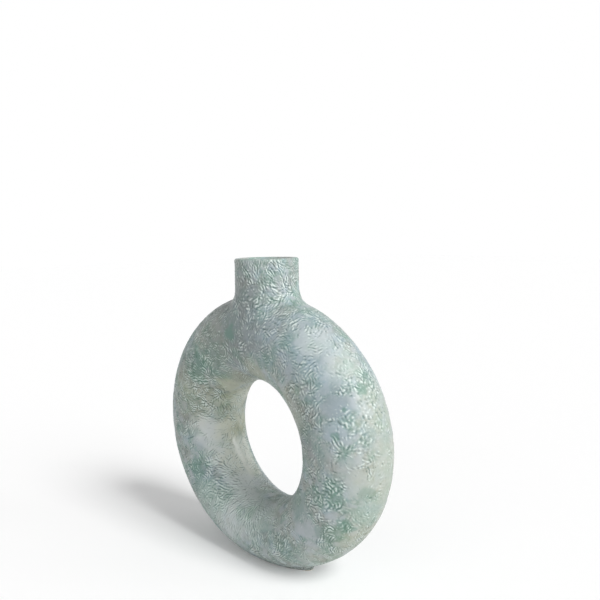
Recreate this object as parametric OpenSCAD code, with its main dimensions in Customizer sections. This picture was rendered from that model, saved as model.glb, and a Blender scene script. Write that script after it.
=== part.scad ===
// Donut vase: a hollow stoneware ring that stands on edge, with a short neck on its crown.
// The ring is wider than it is tall, and its hole is oval and sits a little low, so the
// hollow tube is thicker under the neck than it is at the foot.
// The clay pieces are the ones that are luted together before firing: two half shells that
// meet on the plane Y = 0, a foot that closes their underside, a saddle-shaped shoulder let
// into the crown, and a thrown collar on top of it.
// Millimetres, +Z up, front of the ring towards -Y, origin at the middle of the foot's underside.

/* [Ring] */
// Width of the ring across its outside, along X
ring_w = 253; // [220:1:300]
// Height of the ring's outer oval, before its underside is flattened
ring_h = 225; // [200:1:260]
// Depth of the hollow tube, front to back
ring_d = 64; // [60:1:80]
// Width of the hole through the ring
hole_w = 108; // [80:1:124]
// Height of the hole through the ring
hole_h = 98; // [70:1:108]
// Distance of the hole's middle below the ring's middle
hole_drop = 9; // [0:0.5:14]
// Thickness of the clay wall of the ring
wall = 5; // [4:0.5:7]

/* [Neck] */
// Outside diameter of the neck
neck_od = 53; // [44:1:54]
// Thickness of the neck's wall
neck_wall = 5; // [4:0.5:7]
// Height of the rim above the crown of the ring
neck_rise = 29.5; // [24:0.5:60]
// Reach of the shoulder's flare beyond the neck, along the ring
flare_reach = 15; // [8:1:24]
// Height above the crown at which the flare has turned up into the neck
flare_top = 8; // [5:0.5:14]
// Distance that the shoulder stays inside the ring's front and back
side_margin = 2; // [1:0.5:4]
// Depth of the ledge that carries the shoulder, below its lowest edge
ledge_drop = 3; // [2:0.5:5]
// Radius on both edges of the rim
lip_r = 2; // [1:0.25:2]

/* [Foot] */
// Length of the flat underside, along X
foot_l = 96; // [70:1:110]
// Width of the flat underside, along Y
foot_w = 26; // [20:1:34]
// Height of the flat underside above the lowest point of the ring's oval
foot_cut = 4.5; // [3:0.5:7]
// Reach of the foot's flank beyond the flat underside, along X
foot_flank = 12; // [8:1:16]
// Thickness of the floor inside the foot
floor_t = 5; // [4:0.5:8]

/* [Smoothness] */
// Steps round the ring
ring_steps = 80; // [48:4:96]
// Steps round the outside of each half of the tube
tube_steps = 16; // [10:2:20]
// Steps round the inside of each half of the tube
hollow_steps = 10; // [8:2:14]
// Steps round the shoulder and the foot
turn_steps = 60; // [36:4:72]
// Steps down each curved profile of the shoulder and the foot
curve_steps = 7; // [5:1:9]

/* [Hidden] */
$fn = 96;

// Half axes of the ring's outer oval and of its hole, half the tube's depth
outer = [ring_w / 2, ring_h / 2];
hole = [hole_w / 2, hole_h / 2];
half_d = ring_d / 2;

// Height of the ring's middle and of its crown above the table
mid_z = outer[1] - foot_cut;
crown_z = mid_z + outer[1];

// Neck sizes and levels
neck_r = neck_od / 2;
bore_r = neck_r - neck_wall;
rim_z = crown_z + neck_rise;
collar_z = crown_z + flare_top;
side_reach = half_d - side_margin;
cut_extra = 1;

// The foot's seam with the ring: its reach along X, its height, and the share of the way
// in to the middle that the curved part of the floor takes up
seam_x = foot_l / 2 + foot_flank;
foot_z = low_z(seam_x, 0, 0);
dish_reach = 0.7;

// The ring's slope at a seam is read over these: a share of the foot's flank, and a length
// of the shoulder's flare
flank_share = 0.05;
flare_step = 0.1;

glaze = [0.66, 0.74, 0.71];
green_glaze = [0.55, 0.67, 0.62];

// The tube's section at each turn of the ring is an ellipse between the outer oval and the
// hole. "skin" is the distance in from the glazed surface: 0 outside, wall for the hollow.
function section_mid(turn) = [
    (outer[0] + hole[0]) / 2 * sin(turn),
    (outer[1] + hole[1]) / 2 * cos(turn) - hole_drop / 2];
function section_half(turn, skin) = [
    ((outer[0] - hole[0]) / 2 - skin) * sin(turn),
    ((outer[1] - hole[1]) / 2 - skin) * cos(turn) + hole_drop / 2];
function tube_point(turn, round, skin) =
    let (m = section_mid(turn), h = section_half(turn, skin))
    [m[0] + h[0] * cos(round), (half_d - skin) * sin(round), mid_z + m[1] + h[1] * cos(round)];

// A slice of the tube at depth y is bounded by an oval. These give the share of the section
// that is left at y, the oval's half axes, and the level of its middle.
function share(y, skin) = sqrt(max(0, 1 - pow(y / (half_d - skin), 2)));
function slice_axis(i, s, skin) = (outer[i] + hole[i]) / 2 + ((outer[i] - hole[i]) / 2 - skin) * s;
function slice_z(s) = mid_z - hole_drop / 2 * (1 - s);
function slice_rise(x, s, skin) =
    slice_axis(1, s, skin) * sqrt(max(0, 1 - pow(x / slice_axis(0, s, skin), 2)));

// Height of the top and of the underside of the ring at (x, y)
function high_z(x, y, skin) =
    let (s = share(y, skin)) slice_z(s) + slice_rise(x, s, skin);
function low_z(x, y, skin) =
    let (s = share(y, skin)) slice_z(s) - slice_rise(x, s, skin);

// Outline of the ring's lowest part at height z: half its depth, and its point at each turn
function low_half_d(z, skin) =
    let (c = (slice_z(0) - slice_axis(1, 0, skin) - z)
        / (slice_axis(1, 1, skin) - slice_axis(1, 0, skin) - hole_drop / 2))
    (half_d - skin) * sqrt(max(0, 1 - c * c));
function low_outline(turn, z, skin) =
    let (y = low_half_d(z, skin) * sin(turn), s = share(y, skin),
        c = (slice_z(s) - z) / slice_axis(1, s, skin))
    [sign(cos(turn)) * slice_axis(0, s, skin) * sqrt(max(0, 1 - c * c)), y];

function bezier(a, b, c, t) = (1 - t) * (1 - t) * a + 2 * t * (1 - t) * b + t * t * c;
function along(a, b, t) = a + (b - a) * t;

// Faces of a grid of points: rows of n points each, both directions closed
function loop_faces(rows, n) =
    [for (r = [0 : rows - 1], k = [0 : n - 1], half = [0, 1])
        let (a = r * n + k, b = r * n + (k + 1) % n,
            c = ((r + 1) % rows) * n + (k + 1) % n, d = ((r + 1) % rows) * n + k)
        half == 0 ? [a, b, c] : [a, c, d]];
module closed_loop(rows) {
    n = len(rows[0]);
    polyhedron(points = [for (row = rows) each row], faces = loop_faces(len(rows), n));
}

// The same, but each row is a ring about an axis, and the first and last rows are closed flat
function stack_faces(rows, n) = concat(
    [[for (k = [0 : n - 1]) k]],
    [for (r = [0 : rows - 2], k = [0 : n - 1], half = [0, 1])
        let (a = r * n + k, b = (r + 1) * n + k,
            c = (r + 1) * n + (k + 1) % n, d = r * n + (k + 1) % n)
        half == 0 ? [a, b, c] : [a, c, d]],
    [[for (k = [n - 1 : -1 : 0]) (rows - 1) * n + k]]);
module closed_stack(rows) {
    n = len(rows[0]);
    polyhedron(points = [for (row = rows) each row], faces = stack_faces(len(rows), n));
}

// Half shell of the ring, side -1 in front and +1 behind: the outside from the outer rim
// to the hole, and the hollow back again
function half_profile(turn, side) = concat(
    [for (k = [0 : tube_steps]) tube_point(turn, side * 180 * k / tube_steps, 0)],
    [for (k = [hollow_steps : -1 : 0]) tube_point(turn, side * 180 * k / hollow_steps, wall)]);
module half_shell(side) {
    rows = [for (k = [0 : ring_steps - 1]) half_profile(side * 360 * k / ring_steps, side)];
    closed_loop(rows);
}

// Outline of the shoulder where it meets the ring, seen from above
function seam_reach(turn) =
    neck_r + flare_reach * pow(cos(turn), 2) + (side_reach - neck_r) * pow(sin(turn), 2);
ledge_z = high_z(0, side_reach, 0) - ledge_drop;
module shoulder_socket() {
    translate([0, 0, ledge_z])
        linear_extrude(crown_z - ledge_z + cut_extra)
            polygon([for (k = [0 : turn_steps - 1])
                let (turn = 360 * k / turn_steps)
                seam_reach(turn) * [cos(turn), sin(turn)]]);
}
module foot_space() {
    size = 2 * (seam_x + foot_flank);
    translate([-size / 2, -half_d, -foot_cut - cut_extra])
        cube([size, ring_d, foot_z + foot_cut + cut_extra]);
}
module ring_half(side) {
    difference() {
        half_shell(side);
        shoulder_socket();
        foot_space();
    }
}
module ring_front_half() {
    color(glaze) ring_half(-1);
}
module ring_back_half() {
    color(glaze) ring_half(1);
}

// The foot: a flat underside, a flank that rounds up to meet the ring, and a dished floor.
// At its two ends the flank leaves the table upright, and in front and behind it rolls under.
function flank_point(turn, t) =
    let (edge = [foot_l / 2 * cos(turn), foot_w / 2 * sin(turn)],
        seam = low_outline(turn, foot_z, 0),
        near = along(seam, edge, flank_share),
        fall = (foot_z - low_z(near[0], near[1], 0)) / flank_share,
        upright = fall < foot_z,
        bend = upright ? edge : along(seam, edge, foot_z / fall),
        p = bezier(edge, bend, seam, t))
    [p[0], p[1], bezier(0, upright ? foot_z - fall : 0, foot_z, t)];
function dish_point(turn, t) =
    let (p = low_outline(turn, foot_z, wall) * (1 - dish_reach * t))
    [p[0], p[1], max(floor_t, low_z(p[0], p[1], wall))];
module foot() {
    turns = [for (k = [0 : turn_steps - 1]) 360 * k / turn_steps];
    rows = concat(
        [for (k = [0 : curve_steps]) [for (turn = turns) flank_point(turn, k / curve_steps)]],
        [for (k = [0 : curve_steps]) [for (turn = turns) dish_point(turn, k / curve_steps)]]);
    color(green_glaze) closed_stack(rows);
}

// The shoulder: from the collar's seat down a fillet to the ring's surface, down the wall of
// the socket, and back along the ring's hollow to the bore
function flare_point(turn, t) =
    let (far = seam_reach(turn), near = far - flare_step, d = [cos(turn), sin(turn)],
        far_z = high_z(far * d[0], far * d[1], 0),
        near_z = high_z(near * d[0], near * d[1], 0),
        bend_z = far_z + (near_z - far_z) / flare_step * (far - neck_r),
        rho = bezier(neck_r, neck_r, far, t))
    [rho * d[0], rho * d[1], bezier(collar_z, bend_z, far_z, t)];
function underside_point(turn, t) =
    let (rho = along(seam_reach(turn), bore_r - cut_extra, t),
        x = rho * cos(turn), y = rho * sin(turn),
        inside = abs(y) < half_d - wall)
    [x, y, inside ? max(ledge_z, high_z(x, y, wall)) : ledge_z];
function shoulder_profile(turn) = concat(
    [[(bore_r - cut_extra) * cos(turn), (bore_r - cut_extra) * sin(turn), collar_z]],
    [for (k = [0 : curve_steps]) flare_point(turn, k / curve_steps)],
    [for (k = [0 : curve_steps]) underside_point(turn, k / curve_steps)]);
module shoulder_saddle() {
    rows = [for (k = [turn_steps : -1 : 1]) shoulder_profile(360 * k / turn_steps)];
    color(glaze)
        difference() {
            closed_loop(rows);
            translate([0, 0, ledge_z - cut_extra])
                cylinder(r = bore_r, h = collar_z - ledge_z + 2 * cut_extra);
        }
}

// The collar: a thrown ring with a rounded rim
module neck_collar() {
    color(glaze)
        translate([0, 0, collar_z])
            rotate_extrude()
                translate([bore_r, 0])
                    union() {
                        height = rim_z - collar_z;
                        square([neck_wall, height - lip_r]);
                        translate([lip_r, 0])
                            square([neck_wall - 2 * lip_r, height]);
                        for (x = [lip_r, neck_wall - lip_r])
                            translate([x, height - lip_r])
                                circle(lip_r);
                    }
}

ring_front_half();
ring_back_half();
foot();
shoulder_saddle();
neck_collar();
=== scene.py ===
# %% [markdown]
# # A donut vase with a feathered glaze
# The vase is a hollow ring of stoneware that stands on edge, with a short neck on its crown.
# Its shape is simple and its surface isn't: a stiff brush was stamped and dragged through the
# wet slip, so that fans of fine ridges cover it, and a pale glaze then ran off the ridges and
# pooled green in the hollows. This lesson builds that surface as real geometry, piece by
# piece, around a measured frame that is already there.

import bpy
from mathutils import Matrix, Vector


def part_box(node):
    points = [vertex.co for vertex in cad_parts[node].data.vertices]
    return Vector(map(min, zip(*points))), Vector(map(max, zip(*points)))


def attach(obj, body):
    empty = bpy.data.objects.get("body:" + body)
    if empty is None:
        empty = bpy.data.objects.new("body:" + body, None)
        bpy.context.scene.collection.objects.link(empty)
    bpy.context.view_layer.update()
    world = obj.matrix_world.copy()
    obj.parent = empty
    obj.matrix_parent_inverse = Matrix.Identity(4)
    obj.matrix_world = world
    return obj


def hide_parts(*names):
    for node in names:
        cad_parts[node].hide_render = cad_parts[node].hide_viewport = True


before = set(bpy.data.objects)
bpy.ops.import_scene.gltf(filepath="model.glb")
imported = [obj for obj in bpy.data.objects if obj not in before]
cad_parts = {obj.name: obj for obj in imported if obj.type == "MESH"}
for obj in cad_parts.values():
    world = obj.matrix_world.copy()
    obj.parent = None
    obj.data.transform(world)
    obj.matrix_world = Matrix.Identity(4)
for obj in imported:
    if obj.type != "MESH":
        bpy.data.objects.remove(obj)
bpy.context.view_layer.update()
print("pieces in the frame:", sorted(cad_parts))

import bpy
import numpy as np
from mathutils import Quaternion, Vector

MM = 0.001
FULL_TURN = 2 * np.pi

# %% [markdown]
# ## Sizes
# A potter measures before throwing the neck, and a modeller measures before pushing vertices.
# Where the frame knows a size it is read from there, so that the looks can't drift away from
# the piece that was engineered. What the frame's boxes don't tell, such as the size of the
# hole, is written here as the real size in millimetres. All shapes below are worked out in
# millimetres and turned into metres at one place, where a mesh is made.


# %% Sizes of the ring, the foot and the neck
def box_mm(node):
    low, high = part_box(node)
    return np.array(low) / MM, np.array(high) / MM


ring_high = box_mm("ring_back_half")[1]
foot_high = box_mm("foot")[1]
saddle_low, saddle_high = box_mm("shoulder_saddle")
collar_low, collar_high = box_mm("neck_collar")

outer_x = ring_high[0]
half_d = ring_high[1]
outer_z = 112.5
hole_x = 54.0
hole_z = 49.0
hole_drop = 9.0
foot_cut = 4.5
wall = 5.0
mid_z = outer_z - foot_cut
crown_z = mid_z + outer_z

foot_z = foot_high[2]
foot_x = 48.0
foot_y = 13.0
floor_t = 5.0

neck_r = collar_high[0]
bore_r = neck_r - wall
collar_z = collar_low[2]
rim_z = collar_high[2]
lip_r = 2.0
end_reach = saddle_high[0]
side_reach = saddle_high[1]
ledge_z = saddle_low[2]
print("ring", 2 * outer_x, "wide,", 2 * half_d, "deep; rim at", rim_z, "mm")

# %% [markdown]
# ## The camera
# The photograph was taken from the right and a little above, close enough for the near side
# of the ring to look bigger than the far side. The camera's place and lens were found by
# matching the outline of the vase, so the camera comes first and nothing is bent to suit it.

# %% The camera
camera_place = Vector((0.4538, -0.3698, 0.2692))
camera_aim = Vector((-0.742241, 0.663663, -0.092892))
camera_roll = np.radians(-1.12)

lens = bpy.data.cameras.new("camera")
lens.lens = 42.69
lens.sensor_width = 36.0
lens.clip_start = 0.01
camera = bpy.data.objects.new("camera", lens)
camera.location = camera_place
camera.rotation_mode = "QUATERNION"
camera.rotation_quaternion = camera_aim.to_track_quat("-Z", "Y") @ Quaternion((0, 0, 1), camera_roll)
bpy.context.scene.collection.objects.link(camera)
bpy.context.scene.camera = camera
print("camera", camera_place.length, "m from the foot")

# %% [markdown]
# ## The form of the ring
# A plain torus would be one click, but this ring is wider than it is tall, and its oval hole
# sits low, so the tube is fatter under the neck than at the foot. The section at each turn of
# the ring is an ellipse that spans from the outer oval to the hole. Writing it as a formula
# of two angles gives every point and every normal without guessing, and lets us cut the ring
# for the shoulder and the foot before there is any mesh.


# %% The ring as a formula of two angles
def tube_core(turn):
    """The middle of the tube, which lies inside the clay at that turn."""
    x = (outer_x + hole_x) / 2 * np.sin(turn)
    z = mid_z + (outer_z + hole_z) / 2 * np.cos(turn) - hole_drop / 2
    return np.stack([x, 0 * x, z], -1)


def tube(turn, around, skin=0.0):
    """Point of the ring. turn 0 is the crown, around 0 the outer rim, half a turn the hole."""
    core = tube_core(turn)
    half_x = ((outer_x - hole_x) / 2 - skin) * np.sin(turn)
    half_h = ((outer_z - hole_z) / 2 - skin) * np.cos(turn) + hole_drop / 2
    x = core[..., 0] + half_x * np.cos(around)
    z = core[..., 2] + half_h * np.cos(around)
    return np.stack([x, (half_d - skin) * np.sin(around), z], -1)


def share(y, skin=0.0):
    return np.sqrt(np.maximum(0, 1 - (y / (half_d - skin)) ** 2))


def slice_axes(s, skin=0.0):
    """Half axes of the oval that bounds a slice of the ring, s being the share of the tube."""
    axis_x = (outer_x + hole_x) / 2 + ((outer_x - hole_x) / 2 - skin) * s
    axis_z = (outer_z + hole_z) / 2 + ((outer_z - hole_z) / 2 - skin) * s
    return axis_x, axis_z


def slice_z(s):
    return mid_z - hole_drop / 2 * (1 - s)


def surface_z(x, y, up, skin=0.0):
    """Height of the ring's top (up = 1) or underside (up = -1) over a point of the plan."""
    s = share(y, skin)
    axis_x, axis_z = slice_axes(s, skin)
    return slice_z(s) + up * axis_z * np.sqrt(np.maximum(0, 1 - (x / axis_x) ** 2))


print("crown", surface_z(0.0, 0.0, 1), "underside", surface_z(0.0, 0.0, -1))


# %% Where the shoulder and the foot are let into the ring
def seam_reach(angle):
    """Distance of the shoulder's seam from the neck's axis, seen from above."""
    return neck_r + (end_reach - neck_r) * np.cos(angle) ** 2 + (side_reach - neck_r) * np.sin(angle) ** 2


def low_outline(angle, skin=0.0):
    """Outline of the ring at the height of the foot's seam."""
    reach = slice_z(0) - slice_axes(0, skin)[1]
    depth = slice_axes(1, skin)[1] - slice_axes(0, skin)[1] - hole_drop / 2
    y = (half_d - skin) * np.sqrt(max(0, 1 - ((reach - foot_z) / depth) ** 2)) * np.sin(angle)
    s = share(y, skin)
    axis_x, axis_z = slice_axes(s, skin)
    x = np.sign(np.cos(angle)) * axis_x * np.sqrt(np.maximum(0, 1 - ((slice_z(s) - foot_z) / axis_z) ** 2))
    return np.stack([x, y], -1)


print("foot seam reaches", low_outline(np.array(0.0))[0], "and the frame says", foot_high[0])

# %% [markdown]
# ## The shoulder and the foot
# The neck doesn't stand on the ring like a pipe on a tyre. A saddle-shaped shoulder flares
# from the round neck to an oval seam, and leaves the ring at the ring's own slope, so no
# crease shows. A boolean and a bevel would give an uneven fillet here, because the ring falls
# away steeply in front and hardly at all along its length. A quadratic curve from the neck,
# through the point where both slopes meet, to the seam gives the right flare at every angle.


# %% Flare of the shoulder and flank of the foot
flare_step = 0.1
flank_share = 0.05


def bezier(a, b, c, t):
    return (1 - t) ** 2 * a + 2 * t * (1 - t) * b + t**2 * c


def flare(angle, t):
    """Point of the shoulder, from the collar's seat (t = 0) down to the seam (t = 1)."""
    far = seam_reach(angle)
    near = far - flare_step
    far_z = surface_z(far * np.cos(angle), far * np.sin(angle), 1)
    near_z = surface_z(near * np.cos(angle), near * np.sin(angle), 1)
    bend_z = far_z + (near_z - far_z) / flare_step * (far - neck_r)
    rho = bezier(neck_r, neck_r, far, t)
    return np.stack([rho * np.cos(angle), rho * np.sin(angle), bezier(collar_z, bend_z, far_z, t)], -1)


def flank(angle, t):
    """Point of the foot's flank, from the edge of the flat (t = 0) up to the seam (t = 1)."""
    t = np.asarray(t)[..., None]
    edge = np.stack([foot_x * np.cos(angle), foot_y * np.sin(angle)], -1)
    seam = low_outline(angle)
    near = seam + (edge - seam) * flank_share
    fall = ((foot_z - surface_z(near[..., 0], near[..., 1], -1)) / flank_share)[..., None]
    upright = fall < foot_z
    bend = np.where(upright, edge, seam + (edge - seam) * foot_z / np.maximum(fall, foot_z))
    height = bezier(0, np.where(upright, foot_z - fall, 0), foot_z, t)
    return np.concatenate([bezier(edge, bend, seam, t), height], -1)


def collar(angle, height):
    """Point of the neck's outside."""
    return np.stack([neck_r * np.cos(angle), neck_r * np.sin(angle), height + 0 * angle], -1)


print("flare from", flare(np.array(0.0), 0.0), "to", flare(np.array(0.0), 1.0))

# %% [markdown]
# ## Normals of a formula
# The relief is pressed into each surface along its normal. Every surface here is a function
# of two numbers, so its normal is the cross product of two small steps. It is turned to
# point out of the clay by comparing it with a point that lies inside.


# %% A normal from two small steps
normal_step = 1e-4
edge_inset = 1e-3
no_length = 1e-12
core_below_ledge = 30.0
core_along_foot = 0.6
core_above_foot = 6.0


def outward(surface, u, v, inside):
    along_u = surface(u + normal_step, v) - surface(u - normal_step, v)
    along_v = surface(u, v + normal_step) - surface(u, v - normal_step)
    normal = np.cross(along_u, along_v)
    normal /= np.maximum(np.linalg.norm(normal, axis=-1, keepdims=True), no_length)
    facing = ((surface(u, v) - inside) * normal).sum(-1, keepdims=True)
    return normal * np.where(facing < 0, -1, 1)


def tube_normal(turn, around):
    return outward(tube, turn, around, tube_core(turn))


def flare_normal(angle, t):
    middle = np.stack([0 * angle, 0 * angle, 0 * angle + ledge_z - core_below_ledge], -1)
    return outward(flare, angle, np.clip(t, edge_inset, 1 - edge_inset), middle)


def flank_normal(angle, t):
    middle = np.stack([
        core_along_foot * foot_x * np.cos(angle), 0 * angle, 0 * angle + foot_z + core_above_foot], -1)
    return outward(flank, angle, np.clip(t, edge_inset, 1 - edge_inset), middle)


def collar_normal(angle, height):
    return np.stack([np.cos(angle), np.sin(angle), 0 * angle], -1)


print("normal at the crown", tube_normal(np.array(0.0), np.array(0.0)))

# %% [markdown]
# ## Where the glaze changes, and where light and shade are painted
# On the real vase some places stayed smooth and lilac and others pooled deep green, and more
# zones paint light and shade into the colour. Blind noise would put these anywhere. Here each
# one is a soft round zone, placed by its turn and its angle around the tube in degrees, with a
# radius in millimetres and a strength. The front follows the photograph, and the back, which
# isn't seen, gets zones of the same kinds from a seeded random list.
# Six kinds change the colour: green pools of the glaze, blue-grey painted skylight and shade,
# pale cream painted light in places the lamps leave in shade, a narrow painted highlight inside
# the left side, dull grey painted shade, and an olive tint of painted warm bounce light. Plain
# zones have almost no strokes. Three more kinds change the strokes themselves: combed ones all
# point away from the hole, coarse ones are wide and shallow, and curly ones bend and twist. A
# place can lie in several zones, and its strongest zone of each kind counts.


# %% Zones of the glaze: turn, around, radius, strength
plain_zones = [
    (266, -144, 15, 1.0), (258, -128, 11, 0.9), (323, -159, 12, 1.0), (337, -150, 9, 0.7),
    (208, -173, 12, 0.9), (196, -160, 10, 0.7), (128, -78, 13, 1.0), (120, -98, 8, 0.8),
    (98, -37, 14, 0.75), (90, -48, 9, 0.7), (66, -50, 10, 0.6), (57, -42, 8, 0.5),
    (75, -62, 8, 0.6), (48, -36, 7, 0.55), (82, -84, 14, 0.55), (39, -23, 8, 0.5),
    (88, 20, 26, 0.5), (70, 16, 16, 0.45), (110, 14, 18, 0.45), (146, -40, 10, 0.5),
    (160, -133, 5, 0.9), (162, -118, 6, 0.9), (353, -81, 6, 1.0), (317, -94, 8, 0.85),
]
green_zones = [
    (353, -81, 8, 1.0), (320, -92, 15, 1.0), (312, -97, 12, 0.9), (225, -94, 15, 0.75),
    (212, -84, 14, 0.5), (172, -131, 14, 0.4), (164, -104, 15, 0.3), (102, -73, 12, 0.55),
    (118, -112, 14, 0.6), (111, -18, 11, 0.75), (117, -35, 7, 1.0), (124, -52, 10, 0.6),
    (78, -61, 3.5, 1.0), (68, -42, 3, 0.8), (58, -3, 8, 0.75), (62, -14, 6, 0.9),
    (150, -70, 13, 0.45), (24, -101, 9, 0.6), (287, -104, 12, 0.35), (70, -104, 10, 0.35),
    (336, -110, 16, 0.4), (236, -104, 13, 0.9), (222, -106, 12, 0.8), (209, -104, 9, 0.6),
    (181, -134, 6, 1.0), (190, -128, 5, 0.8), (160, -133, 6, 0.9), (162, -118, 7, 0.9),
]
# Blue-grey zones: painted cool skylight, and painted shade where they darken the lilac.
skylight_and_shade_zones = [
    (38, -54, 26, 1.0), (14, -70, 24, 0.8), (60, -56, 20, 0.8), (30, -20, 18, 0.6),
    (260, -130, 16, 0.4), (0, -60, 22, 0.6), (66, -50, 14, 1.0), (76, -60, 12, 0.9),
    (228, -106, 18, 1.0), (212, -100, 20, 0.6), (205, -120, 26, 0.6), (204, -160, 18, 0.9),
    (196, -110, 24, 0.8), (188, -150, 14, 0.8), (176, -120, 20, 0.6), (170, -125, 20, 0.8),
]
# Pale cream zones: painted light in places the lamps leave in shade, such as the hole's left side, its rim
# and the lower inside.
painted_light_zones = [
    (268, -141, 17, 0.5), (258, -150, 14, 0.5), (298, 172, 14, 0.4), (280, 172, 12, 0.4),
    (252, 164, 9, 0.3), (246, 168, 14, 0.8), (244, -166, 18, 0.6), (240, 162, 9, 0.35),
    (234, -170, 10, 0.8), (232, 168, 14, 0.8), (228, 163, 9, 0.35), (226, -170, 15, 0.5),
    (218, 172, 12, 0.55), (216, -168, 16, 0.45), (216, 168, 9, 0.3), (214, -96, 20, 0.3),
    (214, -170, 13, 0.6), (203, -160, 14, 0.55), (196, -150, 14, 0.4), (196, -108, 24, 0.4),
    (196, 178, 12, 0.4), (190, -152, 14, 0.5), (174, -140, 15, 0.35), (174, -128, 18, 0.4),
    (160, -140, 14, 0.35), (111, -18, 12, 0.2), (60, -130, 16, 0.2), (52, -16, 18, 0.25),
    (38, -36, 14, 0.3),
]
# A row of small zones that paints a narrow highlight inside the left side of the hole.
painted_highlight_zones = [
    (254, 180, 2.3, 1.0), (251, 179, 2.8, 1.0), (248, 177, 3.0, 1.0), (245, 177, 3.0, 1.0),
    (242, 176, 3.0, 1.0), (239, 175, 3.0, 1.0), (236, 175, 3.1, 1.0), (233, 175, 3.0, 0.95),
    (230, 174, 3.0, 0.9), (226, 174, 3.2, 0.8), (222, 174, 3.2, 0.7), (218, 175, 3.2, 0.65),
    (213, 176, 3.2, 0.6), (208, 176, 3.0, 0.5),
]
# Dull grey zones: painted shade, mostly on the left side and the crown, away from the key.
painted_shade_zones = [
    (349, -58, 56, 1.0), (310, -95, 28, 0.7), (282, -105, 24, 0.55), (350, -150, 22, 0.7),
    (64, -46, 14, 0.5), (60, -110, 18, 0.8), (80, -115, 14, 0.7),
]
# Olive zones: painted warm bounce light, many of them near the hole.
warm_bounce_zones = [
    (300, 176, 24, 0.9), (270, 172, 22, 1.0), (240, 176, 18, 0.7), (340, -158, 18, 0.8),
    (322, -150, 14, 0.9), (10, -130, 15, 0.6), (56, -112, 18, 0.5), (318, 150, 24, 0.6),
    (296, -112, 28, 0.7), (334, -84, 26, 0.4), (252, 162, 12, 0.8), (236, 160, 12, 0.8),
    (222, 163, 11, 0.6), (96, 14, 34, 0.45), (122, 6, 30, 0.5), (72, 12, 26, 0.35),
    (142, -16, 20, 0.35),
]
colour_zones = (plain_zones, green_zones, skylight_and_shade_zones, painted_light_zones, painted_highlight_zones, painted_shade_zones, warm_bounce_zones)
print("zones of colour on the front:", sum(len(zones) for zones in colour_zones))

# %% Zones of the strokes
combed_zones = [
    (231, -136, 13, 0.8), (219, -140, 14, 1.0), (207, -137, 14, 0.9), (194, -128, 14, 0.8),
    (184, -108, 14, 1.0), (172, -92, 14, 0.9), (192, -92, 13, 0.7), (312, -98, 20, 0.7),
    (352, -120, 16, 0.6),
]
coarse_zones = [
    (0, -90, 62, 1.0), (40, -40, 46, 1.0), (76, -30, 44, 1.0), (104, -30, 34, 0.8),
    (104, -76, 24, 0.7), (20, 120, 50, 0.8),
]
curly_zones = [
    (67, -14, 30, 1.0), (80, -10, 18, 0.9), (102, -76, 20, 1.0), (56, -92, 18, 1.0), (120, -60, 20, 0.7),
    (287, -100, 22, 0.6), (40, -110, 12, 0.6), (236, -102, 14, 0.9), (222, -104, 13, 0.8),
    (210, -98, 11, 0.8),
]
print("zones of strokes:", len(combed_zones) + len(coarse_zones) + len(curly_zones))


# %% Zones for the back, which the photograph doesn't show
chance = np.random.default_rng(11)
turn_jitter = 0.35
back_from, back_to = 35, 150
weakest = 0.5


def back_zones(count, smallest, largest, weaken=1.0):
    """Zones all round the back, from soft to full strength, each times weaken."""
    spots = []
    for turn in (np.arange(count) + chance.uniform(-turn_jitter, turn_jitter, count)) * 360 / count:
        around = chance.uniform(back_from, back_to)
        radius = chance.uniform(smallest, largest)
        spots.append((turn, around, radius, weaken * chance.uniform(weakest, 1)))
    return spots


plain_zones += back_zones(17, 8, 15)
green_zones += back_zones(15, 7, 15)
# The back gets painted light and shade too: blue-grey skylight and shade, olive bounce light and pale
# light.
skylight_and_shade_zones += back_zones(6, 16, 26)
warm_bounce_zones += back_zones(5, 14, 22, weaken=0.7)
painted_light_zones += back_zones(5, 10, 18, weaken=0.45)
curly_zones += back_zones(6, 16, 26)
print("plain zones in all:", len(plain_zones), "green:", len(green_zones))

# %% [markdown]
# ## A noise that lives in space
# Zones with clean edges look airbrushed, so their edges need fraying, and the frayed edge has
# to run on from one piece to the next. A noise that depends only on the place in space does
# that. It is the plainest kind: random numbers on a lattice, blended smoothly between the
# corners. A shader could do it too, but here the relief needs the same numbers.

# %% Cloud noise from a lattice of random numbers
lattice_size = 64
lattice_shift = 1000
lattice_chance = np.random.default_rng(3)
lattice = lattice_chance.uniform(-1, 1, (lattice_size,) * 3).astype(np.float32)
tilt = np.linalg.qr(lattice_chance.normal(size=(3, 3)))[0]
coarse_part, fine_part, fine_scale, fine_shift = 0.72, 0.36, 2.3, 300


def smooth(t):
    """Runs from 0 to 1 without a corner at either end."""
    return t * t * (3 - 2 * t)


def lattice_noise(points):
    """Random numbers blended between the corners of the lattice, which are 1 apart."""
    scaled = points @ tilt + lattice_shift
    base = np.floor(scaled).astype(int)
    part = smooth(scaled - base)
    total = np.zeros(len(points))
    for dx in (0, 1):
        for dy in (0, 1):
            for dz in (0, 1):
                weight = (part[:, 0] if dx else 1 - part[:, 0]) * (part[:, 1] if dy else 1 - part[:, 1])
                weight = weight * (part[:, 2] if dz else 1 - part[:, 2])
                corner = (base + (dx, dy, dz)) % lattice_size
                total += weight * lattice[corner[:, 0], corner[:, 1], corner[:, 2]]
    return total


def cloud(points, size):
    """Smooth noise between -1 and 1 whose blobs are about size millimetres wide."""
    fine = lattice_noise((points[:, [1, 2, 0]] + fine_shift) * fine_scale / size)
    return coarse_part * lattice_noise(points / size) + fine_part * fine


print("noise spans", lattice.min(), "to", lattice.max())


# %% Zones with frayed edges
wide_fray, narrow_fray = 11.0, 4.0
narrow_part, narrow_shift = 0.7, 500
zone_rim, zone_core = 1.3, 0.45
most_fray = 1.9


def ramp(low, high, value):
    return smooth(np.clip((value - low) / (high - low), 0, 1))


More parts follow.
